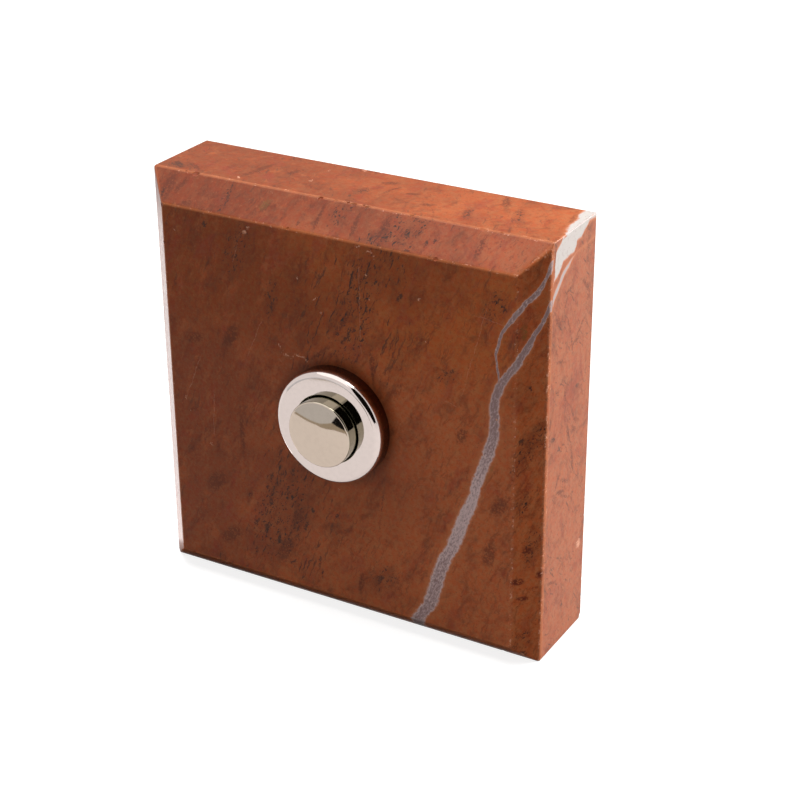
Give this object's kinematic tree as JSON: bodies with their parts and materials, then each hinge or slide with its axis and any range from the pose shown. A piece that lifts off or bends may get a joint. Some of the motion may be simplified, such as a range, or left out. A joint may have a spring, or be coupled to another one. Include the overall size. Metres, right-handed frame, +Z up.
{
  "type": "wired bell push",
  "caption": "Square polished stone block with chamfered front edges and a round plated push button in a flanged bezel; hangs on a hidden wall plate.",
  "frame": {"origin": "centre of the block's back, in the plane that lies against the wall", "axes": "+X to the right seen from the front, +Y into the wall along the push's travel, +Z up"},
  "size_m": [0.075, 0.0262, 0.075],
  "materials": {
    "stone": "polished",
    "chrome": "polished plating",
    "brass": "turned",
    "nickel": "satin nickel plate",
    "zinc_steel": "zinc plated",
    "spring_steel": "drawn wire",
    "silver": "silver plate",
    "phenolic": "moulded",
    "rubber": "moulded",
    "foam": "closed cell foam",
    "fibre": "vulcanised fibre",
    "card": "insulating card"
  },
  "bodies": {
    "block": {"stone_block": "stone", "wall_seal": "foam", "bezel": "chrome", "flange_seal": "rubber", "button_seal": "rubber", "fibre_washer": "fibre", "lock_washer": "zinc_steel", "ring_nut": "nickel", "snap_ring": "spring_steel", "switch_body": "phenolic", "switch_base": "phenolic", "base_screws": "zinc_steel", "contact_post_left": "brass", "contact_post_right": "brass", "terminal_screws": "nickel", "clamp_washers": "nickel", "return_spring": "spring_steel", "wall_plate": "zinc_steel", "hanging_pins": "zinc_steel", "set_screws": "spring_steel", "threaded_inserts": "brass", "insulating_disc": "card", "cable_grommet": "rubber"},
    "button": {"push_button": "chrome", "plunger_stem": "phenolic", "stem_clip": "spring_steel"},
    "bridge": {"contact_bridge": "brass", "bridge_tips": "silver", "contact_spring": "spring_steel"}
  },
  "joints": [
    {"name": "button_press", "type": "slide", "parent": "block", "child": "button", "axis": [0, 1, 0], "range_m": [0, 0.002], "stiffness_N_per_m": 500, "springref_m": -0.003, "deforming": ["return_spring"]},
    {"name": "bridge_close", "type": "slide", "parent": "block", "child": "bridge", "axis": [0, 1, 0], "range_m": [0, 0.0014], "deforming": ["contact_spring"]}
  ],
  "couplings": [
    {"joint": "bridge_close", "follows": "button_press", "ratio": 0.7}
  ]
}
